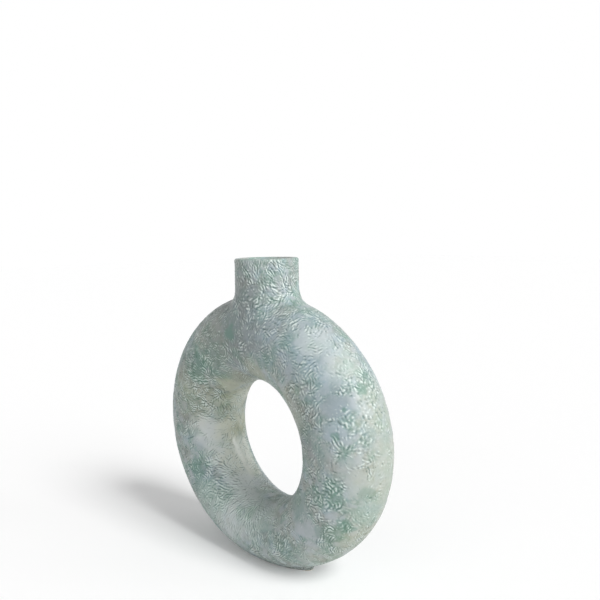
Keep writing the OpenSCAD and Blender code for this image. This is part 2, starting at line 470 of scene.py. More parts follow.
def zone_weight(points, zones, fray):
    """How far each point lies in any of the zones, with edges frayed by the noise."""
    edge = fray * (cloud(points, wide_fray) + narrow_part * cloud(points + narrow_shift, narrow_fray))
    reach = zone_rim + most_fray * fray
    weight = np.zeros(len(points))
    for turn, around, radius, strength in zones:
        middle = tube(np.radians(turn), np.radians(around))
        close = np.abs(points - middle).max(-1) < reach * radius
        distance = np.linalg.norm(points[close] - middle, axis=-1) / radius + edge[close]
        weight[close] = np.maximum(weight[close], strength * ramp(zone_rim, zone_core, distance))
    return weight


print("strength of a zone at its rim:", ramp(zone_rim, zone_core, 1.0))

# %% [markdown]
# ## Strokes of the brush
# Each stamp of the brush leaves a fan: short grooves that spread from one spot and bend the
# same way. A bump texture can't fan out, so the strokes are placed one by one. First come
# points spread evenly over the whole vase, no two closer than the bristles. Each then looks
# for the nearest stamp and turns its groove along the ray from it.


# %% Points spread evenly over the outside
area_step = 1e-3


def scatter(surface, normal, u_range, v_range, tries):
    """Random points of one surface, as many on each square millimetre as on any other."""
    u = chance.uniform(*u_range, tries)
    v = chance.uniform(*v_range, tries)
    here = surface(u, v)
    across = np.cross(surface(u + area_step, v) - here, surface(u, v + area_step) - here)
    area = np.linalg.norm(across, axis=-1)
    kept = chance.uniform(0, area.max(), tries) < area
    return surface(u[kept], v[kept]), normal(u[kept], v[kept])


def cells_around(key):
    """A cell of space and the 26 cells that touch it."""
    return [(key[0] + dx, key[1] + dy, key[2] + dz)
            for dx in (-1, 0, 1) for dy in (-1, 0, 1) for dz in (-1, 0, 1)]


def thin_out(points, gap):
    """Indices of points that lie at least gap apart, taken in order."""
    cells = {}
    kept = []
    keys = np.floor(points / gap).astype(int)
    for index, (key, point) in enumerate(zip(map(tuple, keys), points)):
        offsets = [points[other] - point for cell in cells_around(key) for other in cells.get(cell, ())]
        if all(offset @ offset >= gap * gap for offset in offsets):
            cells.setdefault(key, []).append(index)
            kept.append(index)
    return np.array(kept)


print("cells of space searched around each point:", len(cells_around((0, 0, 0))))

# %% One point for each stroke
stroke_gap = 1.75
flank_start = 0.05
ring_spots, ring_faces = scatter(tube, tube_normal, (0, FULL_TURN), (-np.pi, np.pi), tries=150000)
x, y, z = ring_spots.T
on_saddle = (np.hypot(x, y) < seam_reach(np.arctan2(y, x))) & (z > ledge_z)
on_foot = z < foot_z
ring_spots, ring_faces = ring_spots[~on_saddle & ~on_foot], ring_faces[~on_saddle & ~on_foot]
flare_spots, flare_faces = scatter(flare, flare_normal, (0, FULL_TURN), (0, 1), tries=9000)
flank_spots, flank_faces = scatter(flank, flank_normal, (0, FULL_TURN), (flank_start, 1), tries=8000)
collar_spots, collar_faces = scatter(
    collar, collar_normal, (0, FULL_TURN), (collar_z, rim_z), tries=7000)
spots = np.concatenate([ring_spots, flare_spots, flank_spots, collar_spots])
faces_out = np.concatenate([ring_faces, flare_faces, flank_faces, collar_faces])
spread = thin_out(spots, stroke_gap)
spots, faces_out = spots[spread], faces_out[spread]
print("strokes:", len(spots))

# %% [markdown]
# ## Fans
# The stamps overlapped, and a later stamp wiped out the one under it. Choosing the nearest
# stamp for each stroke gives the same patchwork, and a little noise on the distance keeps the
# borders from being straight. Rays that also turn with the distance make the fans curl.
# Rays alone would give stars, because they leave a stamp on all sides. The real brush was
# dragged as it was stamped, so each stamp also has a sweep of its own, added to the rays: it
# pulls them to one side and the star opens into a fan. In the combed zones the brush was only
# dragged, away from the middle of the hole, so the rays give way to that one direction.

# %% Stamps of the brush
stamp_gap = 30.0
closest_stamps = 0.72
most_swirl = 0.9
border_noise, border_size, border_shift = 0.25, 9.0, 37
fan_centres = [
    (320, -95), (353, -81), (14, -50), (10, -142), (225, -94), (206, -150), (172, -128),
    (150, -72), (128, -40), (102, -76), (98, -24), (67, -20), (82, -2), (56, -86),
    (40, -44), (287, -104), (262, -110), (270, 176), (312, 174), (228, 178),
]
stamps = np.array([tube(np.radians(turn), np.radians(around)) for turn, around in fan_centres])
order = chance.permutation(len(spots))
candidates = np.concatenate([stamps, spots[order]])
stamps = candidates[thin_out(candidates, stamp_gap * closest_stamps)]
swirl = chance.uniform(-most_swirl, most_swirl, len(stamps))

nearest = np.zeros(len(spots), int)
ray = np.zeros((len(spots), 3))
ray_length = np.full(len(spots), np.inf)
for number, stamp in enumerate(stamps):
    offset = spots - stamp
    waviness = 1 + border_noise * cloud(spots + border_shift * number, border_size)
    distance = np.linalg.norm(offset, axis=-1) * waviness
    closer = distance < ray_length
    nearest[closer] = number
    ray[closer] = offset[closer]
    ray_length[closer] = distance[closer]
print("stamps:", len(stamps), "longest ray", round(ray_length.max(), 1), "mm")


# %% The direction of each stroke
least_ray = 0.2
least_sweep, most_sweep = 5.0, 26.0
straight_waver, wavy_waver, waver_size = 0.38, 0.85, 5.5
looseness = 1.1
calm_comb = 0.35
comb_slope = 0.4
stroke_fray = 0.3


def turned(direction, normal, angle):
    """Direction laid flat on the surface and turned about the normal."""
    flat = direction - (direction * normal).sum(-1, keepdims=True) * normal
    flat /= np.maximum(np.linalg.norm(flat, axis=-1, keepdims=True), no_length)
    side = np.cross(normal, flat)
    return flat * np.cos(angle)[:, None] + side * np.sin(angle)[:, None]


off_centre = ray_length > least_ray
spots, faces_out, ray = spots[off_centre], faces_out[off_centre], ray[off_centre]
ray_length, nearest = ray_length[off_centre], nearest[off_centre]
curl_here, combed_here, coarse_here = (
    zone_weight(spots, zones, stroke_fray) for zones in (curly_zones, combed_zones, coarse_zones))
waver = chance.normal(0, straight_waver, len(spots)) + wavy_waver * cloud(spots, waver_size)
loose = chance.normal(0, looseness, len(spots))
turn_by = (swirl[nearest] * ray_length / stamp_gap + waver) * (1 - calm_comb * combed_here)
turn_by += curl_here * loose
stamp_way = chance.normal(size=(len(stamps), 3))
no_turn = 0 * ray_length
sweep = turned(stamp_way[nearest], faces_out, no_turn)
sweep_reach = chance.uniform(least_sweep, most_sweep, len(stamps))[nearest, None]
comb = turned((spots - (0, 0, mid_z)) * (1, 0, comb_slope), faces_out, no_turn)
aim = (1 - combed_here)[:, None] * (ray + sweep_reach * sweep)
aim += (most_sweep * combed_here)[:, None] * comb
stroke_dir = turned(aim, faces_out, turn_by)
stroke_side = np.cross(faces_out, stroke_dir)
print("strokes:", len(spots), "of which combed", int((combed_here > 0.5).sum()))

# %% [markdown]
# ## The profile of a stroke
# A bristle cuts a groove and throws up a lip on both sides, and the cut fades at both ends.
# Summing one such wave for each stroke lets neighbouring strokes merge and cross as they do
# in wet slip. The sum is looked up in cells of space, so that a point is only compared with
# the strokes around it, which is what keeps half a million points quick. No two bristles are
# alike, so each stroke gets its own length, width, bend and force. Each stamp adds its own
# size and force to that, and the curly, combed and coarse zones change it by a share.

# %% Length, width, bend and force of each stroke
half_lengths, half_length_odds, longest_half = [2.3, 3.5, 5.6], [0.35, 0.42, 0.23], 7.3
stamp_sizes, stamp_forces = (0.75, 1.3), (0.75, 1.35)
wave_from, wave_to = 1.5, 2.2
force_from, force_to = 0.3, 1.3
every_bend, curly_bend = 0.05, 0.13
least_force, usual_force, force_noise, force_size = 0.15, 0.95, 0.8, 8.0
curly = {"half": -0.3, "wave": 0.3, "force": 0.1}
combed = {"half": 0.25, "wave": 0.3, "force": 0.3}
coarse = {"wave": 0.42, "force": -0.42}

stamp_size = chance.uniform(*stamp_sizes, len(stamps))[nearest]
stamp_force = chance.uniform(*stamp_forces, len(stamps))[nearest]
stroke_half = chance.choice(half_lengths, len(spots), p=half_length_odds)
stroke_half = stroke_half * (1 + curly["half"] * curl_here) * stamp_size
stroke_half = np.minimum(stroke_half * (1 + combed["half"] * combed_here), longest_half)
stroke_wave = chance.uniform(wave_from, wave_to, len(spots))
stroke_wave = stroke_wave * (1 + curly["wave"] * curl_here) * (0.5 + 0.5 * stamp_size)
stroke_wave *= 1 + coarse["wave"] * coarse_here + combed["wave"] * combed_here
stroke_bend = chance.normal(0, every_bend, len(spots))
stroke_bend += curl_here * chance.normal(0, curly_bend, len(spots))
stroke_force = chance.uniform(force_from, force_to, len(spots)) * (1 + curly["force"] * curl_here)
stroke_force *= 1 + coarse["force"] * coarse_here
stroke_force *= 1 + combed["force"] * combed_here
stroke_force *= stamp_force * np.maximum(
    least_force, usual_force + force_noise * cloud(spots, force_size))
print("strokes are", stroke_half.min() * 2, "to", stroke_half.max() * 2, "mm long")

# %% The sum of all strokes at any point
cell_size = 7.5
stroke_table = np.concatenate([
    spots, stroke_dir, stroke_side, stroke_half[:, None], stroke_wave[:, None], stroke_bend[:, None],
    stroke_force[:, None]], -1).astype(np.float32)


def by_cell(points):
    """Point numbers of each occupied cell of space."""
    keys = np.floor(points / cell_size).astype(int)
    order = np.lexsort(keys.T)
    breaks = np.nonzero(np.any(np.diff(keys[order], axis=0), axis=1))[0] + 1
    return {tuple(keys[group[0]]): group for group in np.split(order, breaks)}


stroke_cells = by_cell(spots)


def strokes_at(points):
    """Height of the brushed relief: below 0 in a groove, above 0 on a lip."""
    total = np.zeros(len(points), np.float32)
    for key, members in by_cell(points).items():
        near = [stroke_cells[cell] for cell in cells_around(key) if cell in stroke_cells]
        if not near:
            continue
        rows = stroke_table[np.concatenate(near)]
        here = points[members].astype(np.float32)
        spot, along, side = rows[:, 0:3], rows[:, 3:6], rows[:, 6:9]
        half, wave, bend, force = rows[:, 9:].T
        offset_along = here @ along.T - (spot * along).sum(-1)
        offset_side = here @ side.T - (spot * side).sum(-1)
        offset_side -= bend * offset_along**2
        fade_ends = np.maximum(0, 1 - (offset_along / half) ** 2)
        phase = offset_side / wave
        fade_side = np.maximum(0, 1 - phase**2) ** 2
        total[members] -= (force * fade_ends * fade_side * np.cos(FULL_TURN * phase)).sum(-1)
    return total


test_strokes = strokes_at(spots[:2000])
print("relief from", test_strokes.min(), "to", test_strokes.max(), "spread", test_strokes.std())

# %% [markdown]
# ## From strokes to depth and masks
# The same numbers have to drive the geometry and the colour, or the green won't lie in the
# grooves. So one function returns, for any points of the outside, how deep the surface is
# pressed in and a set of masks that travel with the mesh as attributes. The frame is the
# envelope of the vase, so the whole body is pressed in a little, a groove more and a lip
# less. Only the highest lips of smooth places stand out of the frame, by less than a tenth of
# a millimetre. The relief fades out at the foot's flat and at the rim, where a finger smoothed
# the clay, and a slow swell keeps the outline from being too true.

# %% Depth and masks of the finish
body_depth, plain_depth = 0.3, 0.14
groove_depth, lip_height = 0.4, 0.3
swell, swell_size = 0.2, 26.0
stroke_gain = 0.95
groove_begins, groove_full = (0.1, 0.55), (0.85, 0.35)
ridge_begins, ridge_full = (0.02, 0.6), (0.62, 0.5)
foot_fade, rim_fade, rim_keeps = 2.5, 5.0, 0.15
foot_swell_fade, rim_swell_fade = 6.0, 8.0
plain_most, plain_fray = 0.9, 0.6
plain_specks, plain_speck_size, plain_shift = 0.65, 6.0, 90
green_fray, green_clouds, green_cloud_size, green_shift = 0.75, 0.5, 15.0, 200
# All five frays on the next line belong to zones of painted light and shade, and so do the last four masks.
skylight_and_shade_fray, warm_bounce_fray, painted_light_fray, painted_highlight_fray, painted_shade_fray = 0.25, 0.25, 0.35, 0.3, 0.3
MASKS = ("groove", "ridge", "plain", "green", "cool", "warm", "pale", "painted_shade")


def stroke_mask(begins, full, plain, height):
    """Each limit is a height of the strokes, and how much higher it is in a plain place."""
    return ramp(begins[0] + begins[1] * plain, full[0] + full[1] * plain, height)


def finish_at(points):
    """Depth in millimetres and the masks of the glaze and of painted light and shade at points of the
    outside.
    """
    height = np.tanh(stroke_gain * strokes_at(points).astype(float))
    above_foot, below_rim = points[:, 2], rim_z - points[:, 2]
    # Zones of the painted highlight; the strokes are smoothed under it as in a plain place.
    painted_highlight = zone_weight(points, painted_highlight_zones, painted_highlight_fray)
    plain = plain_most * zone_weight(points, plain_zones, plain_fray)
    plain_spots = plain_specks * ramp(0.1, 0.5, cloud(points + plain_shift, plain_speck_size))
    plain = np.maximum(np.maximum(plain, plain_spots), painted_highlight)
    groove = stroke_mask(groove_begins, groove_full, plain, -height)
    ridge = stroke_mask(ridge_begins, ridge_full, plain, height)
    depth = body_depth + (plain_depth - body_depth) * plain + groove_depth * groove - lip_height * ridge
    depth = depth * ramp(0.0, foot_fade, above_foot)
    depth *= rim_keeps + (1 - rim_keeps) * ramp(0.0, rim_fade, below_rim)
    swelling = swell * (1 + cloud(points, swell_size)) / 2
    swelling *= ramp(0.0, foot_swell_fade, above_foot)
    depth += swelling * ramp(0.0, rim_swell_fade, below_rim)
    green_mist = green_clouds * ramp(0.2, 0.7, cloud(points + green_shift, green_cloud_size))
    # Green is the glaze's own colour; the four masks after it paint skylight and shade, warm bounce light,
    # light with the highlight, and shade.
    masks = {
        "groove": groove, "ridge": ridge, "plain": plain,
        "green": np.maximum(zone_weight(points, green_zones, green_fray), green_mist),
        "cool": zone_weight(points, skylight_and_shade_zones, skylight_and_shade_fray),
        "warm": zone_weight(points, warm_bounce_zones, warm_bounce_fray),
        "pale": np.maximum(zone_weight(points, painted_light_zones, painted_light_fray), painted_highlight),
        "painted_shade": zone_weight(points, painted_shade_zones, painted_shade_fray)}
    return depth, masks


print("deepest groove about", body_depth + groove_depth + swell, "mm")

# %% [markdown]
# ## Cutting a grid before it is a mesh
# Each half of the ring is a grid over the two angles with a bite out of it for the shoulder
# and one for the foot. Blender's boolean would do it, but on such a dense sheet it is slow and
# leaves slivers along the cut. Trimming the grid in its own two angles is cleaner: corners
# that nearly touch the seam slide onto it, and the other cells are cut where the seam
# crosses their edges, found by halving.


# %% A grid over turn and around, trimmed along a seam
slide_share = 0.28
halvings = 30


def cut_places(start, stop, keep):
    """The place between start and stop where keep changes sign."""
    inside = keep(start[:, 0], start[:, 1]) > 0
    low, high = start.copy(), stop.copy()
    for _ in range(halvings):
        middle = (low + high) / 2
        same = (keep(middle[:, 0], middle[:, 1]) > 0) == inside
        low[same] = middle[same]
        high[~same] = middle[~same]
    return (low + high) / 2


def crossed(level, step):
    """Grid edges along one direction whose ends lie on different sides of the seam."""
    if step == 0:
        return np.nonzero(level[:-1] * level[1:] < 0)
    return np.nonzero(level[:, :-1] * level[:, 1:] < 0)


def slide_to_seam(place, level, keep):
    """Moves the corners that nearly touch the seam onto it. Border rows stay in their row."""
    for step in (0, 1):
        i, j = crossed(level, step)
        i2, j2 = i + (step == 0), j + (step == 1)
        start, stop = place[i, j], place[i2, j2]
        seam = cut_places(start, stop, keep)
        part = np.linalg.norm(seam - start, axis=-1) / np.linalg.norm(stop - start, axis=-1)
        off_first, off_last = (True, True) if step == 0 else (j > 0, j2 < level.shape[1] - 1)
        near_start, near_stop = (part < slide_share) & off_first, (part > 1 - slide_share) & off_last
        for near, a, b in ((near_start, i, j), (near_stop, i2, j2)):
            place[a[near], b[near]] = seam[near]
            level[a[near], b[near]] = 0


def trimmed_grid(turns, rounds, keep):
    """Places of the points, the faces with four and three corners, and the places at these."""
    place = np.stack(np.meshgrid(turns, rounds, indexing="ij"), -1)
    level = keep(place[..., 0], place[..., 1])
    slide_to_seam(place, level, keep)
    columns, rows = level.shape
    ids = np.arange(columns * rows).reshape(columns, rows)
    places = [place.reshape(-1, 2)]
    count = columns * rows
    cuts = []
    for step in (0, 1):
        i, j = crossed(level, step)
        table = np.full((columns, rows), -1)
        table[i, j] = count + np.arange(len(i))
        places.append(cut_places(place[i, j], place[i + (step == 0), j + (step == 1)], keep))
        count += len(i)
        cuts.append(table)
    places = np.concatenate(places)

    i, j = (grid.ravel() for grid in np.meshgrid(np.arange(columns), np.arange(rows - 1), indexing="ij"))
    beside = (i + 1) % columns
    corners = np.stack([ids[i, j], ids[beside, j], ids[beside, j + 1], ids[i, j + 1]], -1)
    levels = level.ravel()[corners]
    touched = (levels > 0).any(-1)
    whole = touched & (levels >= 0).all(-1)
    quads = corners[whole]
    quad_places = places[quads]
    quad_places[:, 1:3, 0] += FULL_TURN * (i[whole] == columns - 1)[:, None]
    triangles = []
    more_quads = []
    for cell in np.nonzero(touched & ~whole)[0]:
        a, b = i[cell], j[cell]
        edge_cuts = [cuts[0][a, b], cuts[1][beside[cell], b], cuts[0][a, b + 1], cuts[1][a, b]]
        shape = []
        for k in range(4):
            if levels[cell, k] >= 0:
                shape.append(corners[cell, k])
            if levels[cell, k] * levels[cell, (k + 1) % 4] < 0:
                shape.append(edge_cuts[k])
        if len(shape) == 3:
            triangles.append(shape)
        elif len(shape) == 4:
            more_quads.append(shape)
        elif len(shape) == 5:
            more_quads.append(shape[:4])
            triangles.append([shape[0], shape[3], shape[4]])
    if more_quads:
        more_quads = np.array(more_quads)
        quad_places = np.concatenate([quad_places, places[more_quads]])
        quads = np.concatenate([quads, more_quads])
    triangles = np.array(triangles, int).reshape(-1, 3)
    triangle_places = places[triangles]
    used = np.unique(np.concatenate([quads.ravel(), triangles.ravel()]))
    renumber = np.full(count, -1)
    renumber[used] = np.arange(len(used))
    return places[used], renumber[quads], renumber[triangles], quad_places, triangle_places


# %% [markdown]
# ## Closing a shell
# A glazed half shell has an outside, an inside and the joint faces between them. The outside
# is dense and the inside is coarse, since only a little of it shows through the mouth. Their
# borders have different counts of points, so a walk along both borders joins each point to
# the closest one across, always taking the shorter diagonal.


# %% Borders of a sheet and the wall between two borders
def borders(quads, triangles):
    """Directed border loops of a sheet, longest first."""
    steps = np.concatenate(
        [quads[:, [k, (k + 1) % 4]] for k in range(4)] + [triangles[:, [k, (k + 1) % 3]] for k in range(3)])
    size = steps.max() + 1
    forward = steps[:, 0].astype(np.int64) * size + steps[:, 1]
    backward = steps[:, 1].astype(np.int64) * size + steps[:, 0]
    edge = steps[~np.isin(forward, backward)]
    following = dict(zip(edge[:, 0].tolist(), edge[:, 1].tolist()))
    loops = []
    while following:
        start = next(iter(following))
        loop = [start]
        point = following.pop(start)
        while point != start:
            loop.append(point)
            point = following.pop(point)
        loops.append(loop)
    return sorted(loops, key=len, reverse=True)


def joint_wall(first, second, points):
    """Triangles that close the gap between two loops which run in opposite directions."""
    second = second[::-1]
    start = int(np.argmin(np.linalg.norm(points[second] - points[first[0]], axis=-1)))
    second = second[start:] + second[:start]
    p = np.array(first + first[:1])
    q = np.array(second + second[:1])
    triangles = []
    i = j = 0
    while i < len(first) or j < len(second):
        step_i = j == len(second)
        if i < len(first) and j < len(second):
            gap_i = ((points[p[i + 1]] - points[q[j]]) ** 2).sum()
            step_i = gap_i <= ((points[p[i]] - points[q[j + 1]]) ** 2).sum()
        if step_i:
            triangles.append([p[i + 1], p[i], q[j]])
            i += 1
        else:
            triangles.append([q[j], q[j + 1], p[i]])
            j += 1
    return np.array(triangles)


# %% [markdown]
# ## From numbers to a Blender mesh
# With half a million faces, adding them one at a time takes minutes. Blender's meshes can be
# filled straight from arrays, which takes a second. The masks go in as point attributes,
# the seams between inside and outside are marked sharp, and a map of the surface is laid out
# in which nothing overlaps.


# %% Filling a mesh from arrays
def fill_mesh(name, points, quads, triangles, quad_map, triangle_map, quad_kind, triangle_kind, masks):
    """A closed piece. The kinds are numbers of material slots, one for each face."""
    volume = 0.0
    for shape in (quads[:, [0, 1, 2]], quads[:, [0, 2, 3]], triangles):
        a, b, c = points[shape[:, 0]], points[shape[:, 1]], points[shape[:, 2]]
        volume += (a * np.cross(b, c)).sum() / 6
    if volume < 0:
        quads, quad_map = quads[:, ::-1], quad_map[:, ::-1]
        triangles, triangle_map = triangles[:, ::-1], triangle_map[:, ::-1]
    mesh = bpy.data.meshes.new(name)
    mesh.vertices.add(len(points))
    mesh.vertices.foreach_set("co", (points * MM).astype(np.float32).ravel())
    corners = np.concatenate([quads.ravel(), triangles.ravel()])
    mesh.loops.add(len(corners))
    mesh.loops.foreach_set("vertex_index", corners.astype(np.int32))
    sizes = np.concatenate([np.full(len(quads), 4), np.full(len(triangles), 3)])
    starts = np.concatenate([[0], np.cumsum(sizes)[:-1]])
    mesh.polygons.add(len(sizes))
    mesh.polygons.foreach_set("loop_start", starts.astype(np.int32))
    kinds = np.concatenate([quad_kind, triangle_kind]).astype(np.int32)
    mesh.polygons.foreach_set("material_index", kinds)
    mesh.update(calc_edges=True)
    layer = mesh.uv_layers.new(name="OFBake")
    flat_map = np.concatenate([quad_map.reshape(-1, 2), triangle_map.reshape(-1, 2)])
    layer.data.foreach_set("uv", flat_map.astype(np.float32).ravel())
    for mask, values in masks.items():
        attribute = mesh.attributes.new(mask, "FLOAT", "POINT")
        attribute.data.foreach_set("value", values.astype(np.float32))
    mark_kind_borders(mesh, kinds, sizes)
    mesh.validate()
    piece = bpy.data.objects.new(name, mesh)
    bpy.context.scene.collection.objects.link(piece)
    print(name, len(points), "points,", round(abs(volume) / 1000, 1), "cubic centimetres")
    return piece


def mark_kind_borders(mesh, kinds, sizes):
    """Edges between faces of two kinds are sharp, so that the shading stops there."""
    edges = np.zeros(len(mesh.loops), np.int32)
    mesh.loops.foreach_get("edge_index", edges)
    kind_of = np.repeat(kinds, sizes)
    highest = np.full(len(mesh.edges), kinds.min())
    lowest = np.full(len(mesh.edges), kinds.max())
    np.maximum.at(highest, edges, kind_of)
    np.minimum.at(lowest, edges, kind_of)
    sharp = mesh.attributes.new("sharp_edge", "BOOLEAN", "EDGE")
    sharp.data.foreach_set("value", highest != lowest)


# %% [markdown]
# ## The two halves of the ring
# Half a million triangles on each half may sound like a lot, but the finest ridge is less
# than a millimetre wide and takes about three points across. The outside is kind 0, the
# glazed hollow and its joint faces are kind 1. The map holds the outside in two long
# strips and the inside in a third.

# %% Steps of the grids
spacing = 0.6
half_rim_length = 375
half_girth = 108
outer_columns = 2 * round(half_rim_length / spacing)
outer_rows = round(half_girth / spacing)
inner_columns = 240
inner_rows = 40
first_turn = np.pi / 2
print("grid of each half:", outer_columns, "by", outer_rows, "and inside", inner_columns, "by", inner_rows)


# %% Which places of the grids are kept: those where the value is above 0
def past_shoulder(x, y):
    """How far a point lies outside the shoulder's seam, seen from above."""
    return np.hypot(x, y) - seam_reach(np.arctan2(y, x))


def keep_outside(turn, around):
    x, y, z = np.moveaxis(tube(turn, around), -1, 0)
    return np.minimum(np.where(z > ledge_z, past_shoulder(x, y), 1.0), z - foot_z)


def keep_inside(turn, around):
    x, y, z = np.moveaxis(tube(turn, around, wall), -1, 0)
    return np.minimum(np.maximum(past_shoulder(x, y), ledge_z - z), z - foot_z)


print("at the crown:", keep_outside(np.array(0.0), np.array(0.0)), "mm, so it is cut away")

# %% Where each face lies on the map
strip_height = 0.37
strip_gap = 0.01
inside_top = 0.94
walls_low, walls_high = 0.955, 0.995


def strip_map(places):
    """Map places of the outside: two strips of half a turn each, one above the other."""
    along = (places[..., 0] - first_turn) / np.pi
    strip = np.minimum(np.floor(along.mean(axis=1, keepdims=True)), 1)
    across = np.abs(places[..., 1]) / np.pi
    return np.stack([along - strip, strip * (strip_height + strip_gap) + across * strip_height], -1)


def inside_map(places):
    along = (places[..., 0] - first_turn) / FULL_TURN
    low = 2 * (strip_height + strip_gap)
    return np.stack([along, low + np.abs(places[..., 1]) / np.pi * (inside_top - low)], -1)


def wall_map(count):
    """Map places of the triangles of the joint faces, side by side in a narrow strip."""
    row = np.arange(count) / count
    along = np.stack([row, row + 1 / count, row], -1)
    return np.stack([along, np.broadcast_to([walls_low, walls_low, walls_high], along.shape)], -1)


print("strips end at", 2 * (strip_height + strip_gap), "the inside at", inside_top, "of the map")


# %% The halves
def grid_over(side, columns, rows, keep):
    """The trimmed grid of one half, side being -1 for the front and 1 for the back."""
    turns = first_turn + FULL_TURN * np.arange(columns) / columns
    return trimmed_grid(turns, side * np.linspace(0, np.pi, rows + 1), keep)


def ring_half(name, side):
    place, quads, triangles, quad_places, triangle_places = grid_over(
        side, outer_columns, outer_rows, keep_outside)
    points = tube(place[:, 0], place[:, 1])
    depth, masks = finish_at(points)
    print(name, "is pressed in by", round(depth.min(), 3), "to", round(depth.max(), 3), "mm")
    points = points - depth[:, None] * tube_normal(place[:, 0], place[:, 1])

    inner_place, *inner_faces = grid_over(side, inner_columns, inner_rows, keep_inside)
    in_quads, in_triangles, in_quad_places, in_triangle_places = (faces[:, ::-1] for faces in inner_faces)
    everything = np.concatenate([points, tube(inner_place[:, 0], inner_place[:, 1], wall)])
    start = len(points)

    walls = []
    for outer_loop, inner_loop in zip(borders(quads, triangles), borders(in_quads, in_triangles)):
        walls.append(joint_wall(outer_loop, [point + start for point in inner_loop], everything))
    walls = np.concatenate(walls)
    triangle_maps = (strip_map(triangle_places), inside_map(in_triangle_places), wall_map(len(walls)))
    return fill_mesh(
        name, everything,
        np.concatenate([quads, in_quads + start]),
        np.concatenate([triangles, in_triangles + start, walls]),
        np.concatenate([strip_map(quad_places), inside_map(in_quad_places)]),
        np.concatenate(triangle_maps),
        np.repeat([0, 1], [len(quads), len(in_quads)]),
        np.repeat([0, 1], [len(triangles), len(in_triangles) + len(walls)]),
        {mask: np.concatenate([values, np.zeros(len(inner_place))]) for mask, values in masks.items()})


front_half = ring_half("front_half", -1)
back_half = ring_half("back_half", 1)

# %% [markdown]
# ## Pieces made of rows
# The shoulder, the collar and the foot are simpler: rows of points about an axis, like the
# rings that a potter's fingers leave. The same short function turns such rows into a solid.
# Rows that close on themselves make a ring-shaped piece, and rows that end in a fan make
# one with a floor.


# %% A solid from rows of points
map_edge = 0.02


def row_solid(name, rows, kinds, masks, closed_loop):
    """rows has the shape (rows, points, 3). kinds has one slot number for each band of faces."""
    count, around = rows.shape[:2]
    bands = count if closed_loop else count - 1
    r, k = (grid.ravel() for grid in np.meshgrid(np.arange(bands), np.arange(around), indexing="ij"))
    r2, k2 = (r + 1) % count, (k + 1) % around
    quads = np.stack([r * around + k, r2 * around + k, r2 * around + k2, r * around + k2], -1)
    u = np.stack([k, k, k + 1, k + 1], -1) / around
    v = map_edge + (1 - 2 * map_edge) * np.stack([r, r + 1, r + 1, r], -1) / bands
    quad_map = np.stack([u, v], -1)
    points = rows.reshape(-1, 3)
    triangles = np.zeros((0, 3), int)
    triangle_map = np.zeros((0, 3, 2))
    if not closed_loop:
        middles = np.stack([rows[0].mean(0), rows[-1].mean(0)])
        first, last = len(points), len(points) + 1
        points = np.concatenate([points, middles])
        k = np.arange(around)
        k2 = (k + 1) % around
        low = np.stack([k, k2, np.full(around, first)], -1)
        high = np.stack([(count - 1) * around + k2, (count - 1) * around + k, np.full(around, last)], -1)
        triangles = np.concatenate([low, high])
        fan_u = np.stack([k, k + 1, k + 0.5], -1) / around
        fan_v = np.broadcast_to([map_edge, map_edge, 0.0], fan_u.shape)
        low_map = np.stack([fan_u, fan_v], -1)
        high_map = np.stack([fan_u[:, [1, 0, 2]], 1 - fan_v], -1)
        triangle_map = np.concatenate([low_map, high_map])
        masks = {mask: np.concatenate([values, [0, 0]]) for mask, values in masks.items()}
    triangle_kind = np.repeat([kinds[0], kinds[-1]], around) if len(triangles) else np.zeros(0)
    return fill_mesh(
        name, points, quads, triangles, quad_map, triangle_map, np.asarray(kinds)[r], triangle_kind, masks)


# %% [markdown]
# ## The shoulder and the collar
# Both share the same steps round the axis, so their points meet exactly where the collar
# stands on the shoulder. The rim of the collar is rounded by a couple of millimetres, as a
# wet finger leaves it, and its inside is smooth glaze.

# %% Rows of the glazed surfaces and of the hollow
half_shoulder_length = 120
flare_length = 26
neck_height = 20
flank_height = 14
angle_steps = 2 * round(half_shoulder_length / spacing)
angles = FULL_TURN * np.arange(angle_steps) / angle_steps


def sheet_rows(surface, normal, levels):
    """Rows of a glazed surface with its relief pressed in, and its masks."""
    angle, level = np.meshgrid(angles, levels)
    points = surface(angle, level).reshape(-1, 3)
    depth, masks = finish_at(points)
    print(surface.__name__, "is pressed in by", round(depth.min(), 3), "to", round(depth.max(), 3), "mm")
    points = points - depth[:, None] * normal(angle, level).reshape(-1, 3)
    return points.reshape(len(levels), angle_steps, 3), masks


def mask_rows(masks, before, after):
    """Masks of the glazed rows, with blank ones for the counts of plain rows around them."""
    low, high = np.zeros(before * angle_steps), np.zeros(after * angle_steps)
    return {mask: np.concatenate([low, values, high]) for mask, values in masks.items()}


def ring_row(radius, height):
    """One row about the neck's axis. Both values may change with the angle."""
    radius = np.broadcast_to(radius, angles.shape)
    height = np.broadcast_to(height, angles.shape)
    return np.stack([radius * np.cos(angles), radius * np.sin(angles), height], -1)


# %% The shoulder
under_steps = 8
bore_steps = 4
bore_lap = 2.0


def saddle_underside(part):
    """Row of the shoulder's underside, from the seam (part = 0) to the bore (part = 1)."""
    radius = seam_reach(angles) + (bore_r - seam_reach(angles)) * part
    x, y = radius * np.cos(angles), radius * np.sin(angles)
    hollow = surface_z(x, np.clip(y, wall - half_d, half_d - wall), 1, wall)
    height = np.where(np.abs(y) < half_d - wall, np.maximum(ledge_z, hollow), ledge_z)
    return ring_row(radius, height)


